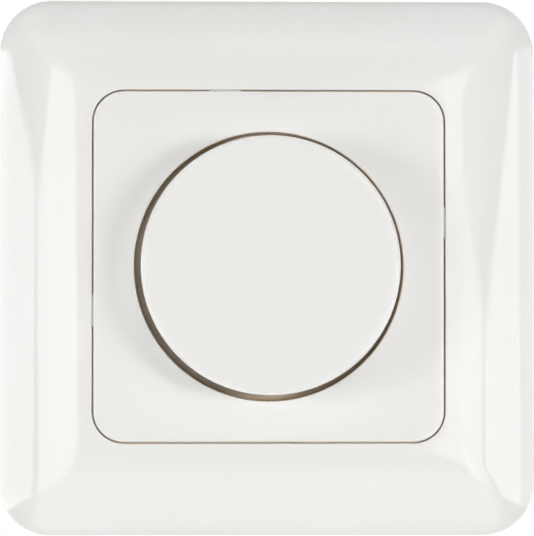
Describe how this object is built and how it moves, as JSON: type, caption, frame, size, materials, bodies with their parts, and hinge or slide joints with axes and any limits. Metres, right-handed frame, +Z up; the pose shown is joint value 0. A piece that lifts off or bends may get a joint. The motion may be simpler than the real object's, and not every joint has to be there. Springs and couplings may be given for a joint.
{
  "type": "rotary dimmer switch",
  "caption": "Flush-mounted wall dimmer with a convex square frame, flush centre plate, blank round push-and-turn knob, and an insert with claws and screw terminals behind.",
  "frame": {"origin": "middle of the support plate's back face, in the plane of the finished wall", "axes": "+Y into the wall, so the knob faces -Y; +Z up; +X to the right as seen from the front"},
  "size_m": [0.085, 0.0446, 0.085],
  "materials": {
    "white_frame": "glossy white thermoplastic",
    "white_plate": "glossy white thermoplastic",
    "white_knob": "glossy white thermoplastic",
    "spring_steel": "spring steel",
    "zinc_hardware": "zinc-plated steel",
    "nickel_hardware": "nickel-plated brass",
    "zinc_sheet": "zinc-plated sheet steel",
    "housing_moulding": "fine spark-eroded texture, dark grey",
    "terminal_moulding": "light grey, fine texture",
    "board_laminate": "solder-masked laminate",
    "mill_aluminium": "mill finish",
    "component_moulding": "black moulding",
    "carbon_track": "carbon film",
    "carrier_moulding": "natural acetal",
    "contact_bronze": "bronze strip",
    "core_iron": "painted iron powder",
    "winding_copper": "enamelled copper",
    "capacitor_moulding": "potted plastic box",
    "fuse_glass": "clear glass",
    "resistor_coat": "lacquered"
  },
  "bodies": {
    "insert": {"cover_frame": "white_frame", "centre_plate": "white_plate", "lock_washer": "zinc_hardware", "fixing_nut": "nickel_hardware", "support_plate": "zinc_sheet", "housing": "housing_moulding", "plate_screws": "zinc_hardware", "terminal_block": "terminal_moulding", "circuit_board": "board_laminate", "heat_sink": "mill_aluminium", "pot_bushing": "nickel_hardware", "pot_body": "component_moulding", "resistive_track": "carbon_track", "switch_body": "component_moulding", "switch_spring": "spring_steel", "triac": "component_moulding", "triac_screw": "zinc_hardware", "choke_core": "core_iron", "choke_winding": "winding_copper", "suppression_capacitor": "capacitor_moulding", "timing_capacitor": "capacitor_moulding", "fuse_tube": "fuse_glass", "fuse_caps": "nickel_hardware", "fuse_clips": "contact_bronze", "resistors": "resistor_coat", "diac": "fuse_glass", "claw_pin_left": "zinc_hardware", "claw_pin_right": "zinc_hardware", "terminal_bar_1": "contact_bronze", "terminal_bar_2": "contact_bronze", "terminal_bar_3": "contact_bronze"},
    "rotor": {"wiper_carrier": "carrier_moulding", "wiper_contact": "contact_bronze"},
    "knob": {"knob": "white_knob", "knob_clip": "spring_steel", "control_shaft": "mill_aluminium"},
    "plunger": {"switch_plunger": "carrier_moulding"},
    "claw_left": {"claw_left": "zinc_sheet"},
    "claw_screw_left": {"claw_screw_left": "zinc_hardware"},
    "claw_nut_left": {"claw_nut_left": "zinc_hardware"},
    "claw_right": {"claw_right": "zinc_sheet"},
    "claw_screw_right": {"claw_screw_right": "zinc_hardware"},
    "claw_nut_right": {"claw_nut_right": "zinc_hardware"},
    "terminal_cage_1": {"terminal_cage_1": "zinc_hardware"},
    "terminal_screw_1": {"terminal_screw_1": "zinc_hardware"},
    "terminal_cage_2": {"terminal_cage_2": "zinc_hardware"},
    "terminal_screw_2": {"terminal_screw_2": "zinc_hardware"},
    "terminal_cage_3": {"terminal_cage_3": "zinc_hardware"},
    "terminal_screw_3": {"terminal_screw_3": "zinc_hardware"}
  },
  "joints": [
    {"name": "knob_turn", "type": "hinge", "parent": "insert", "child": "rotor", "pos_m": [0, 0, 0], "axis": [0, 1, 0], "range_deg": [-135, 135]},
    {"name": "knob_push", "type": "slide", "parent": "rotor", "child": "knob", "axis": [0, 1, 0], "range_m": [0, 0.0015], "stiffness_N_per_m": 2500, "springref_m": -0.0004},
    {"name": "plunger_slide", "type": "slide", "parent": "insert", "child": "plunger", "axis": [0, 1, 0], "range_m": [0, 0.0015], "deforming": ["switch_spring"]},
    {"name": "claw_screw_left_turn", "type": "hinge", "parent": "insert", "child": "claw_screw_left", "pos_m": [-0.0268, 0, 0], "axis": [0, 1, 0], "range_deg": [0, 703.72]},
    {"name": "claw_nut_left_travel", "type": "slide", "parent": "insert", "child": "claw_nut_left", "axis": [0, -1, 0], "range_m": [0, 0.00097738]},
    {"name": "claw_left_swing", "type": "hinge", "parent": "insert", "child": "claw_left", "pos_m": [-0.023, 0.0032, 0], "axis": [0, 0, 1], "range_deg": [0, 18]},
    {"name": "claw_screw_right_turn", "type": "hinge", "parent": "insert", "child": "claw_screw_right", "pos_m": [0.0268, 0, 0], "axis": [0, 1, 0], "range_deg": [0, 703.72]},
    {"name": "claw_nut_right_travel", "type": "slide", "parent": "insert", "child": "claw_nut_right", "axis": [0, -1, 0], "range_m": [0, 0.00097738]},
    {"name": "claw_right_swing", "type": "hinge", "parent": "insert", "child": "claw_right", "pos_m": [0.023, 0.0032, 0], "axis": [0, 0, -1], "range_deg": [0, 18]},
    {"name": "terminal_screw_1_turn", "type": "hinge", "parent": "insert", "child": "terminal_screw_1", "pos_m": [-0.0095, 0.0175, 0], "axis": [0, 0, 1], "range_deg": [0, 2304]},
    {"name": "terminal_cage_1_travel", "type": "slide", "parent": "insert", "child": "terminal_cage_1", "axis": [0, 0, -1], "range_m": [0, 0.0032]},
    {"name": "terminal_screw_2_turn", "type": "hinge", "parent": "insert", "child": "terminal_screw_2", "pos_m": [0, 0.0175, 0], "axis": [0, 0, 1], "range_deg": [0, 2304]},
    {"name": "terminal_cage_2_travel", "type": "slide", "parent": "insert", "child": "terminal_cage_2", "axis": [0, 0, -1], "range_m": [0, 0.0032]},
    {"name": "terminal_screw_3_turn", "type": "hinge", "parent": "insert", "child": "terminal_screw_3", "pos_m": [0.0095, 0.0175, 0], "axis": [0, 0, 1], "range_deg": [0, 2304]},
    {"name": "terminal_cage_3_travel", "type": "slide", "parent": "insert", "child": "terminal_cage_3", "axis": [0, 0, -1], "range_m": [0, 0.0032]}
  ],
  "couplings": [
    {"joint": "plunger_slide", "follows": "knob_push", "ratio": 1},
    {"joint": "claw_screw_left_turn", "follows": "claw_nut_left_travel", "rad_per_m": 12565},
    {"joint": "claw_left_swing", "follows": "claw_nut_left_travel", "rad_per_m": 321.4},
    {"joint": "claw_screw_right_turn", "follows": "claw_nut_right_travel", "rad_per_m": 12565},
    {"joint": "claw_right_swing", "follows": "claw_nut_right_travel", "rad_per_m": 321.4},
    {"joint": "terminal_screw_1_turn", "follows": "terminal_cage_1_travel", "rad_per_m": 12565},
    {"joint": "terminal_screw_2_turn", "follows": "terminal_cage_2_travel", "rad_per_m": 12565},
    {"joint": "terminal_screw_3_turn", "follows": "terminal_cage_3_travel", "rad_per_m": 12565}
  ]
}
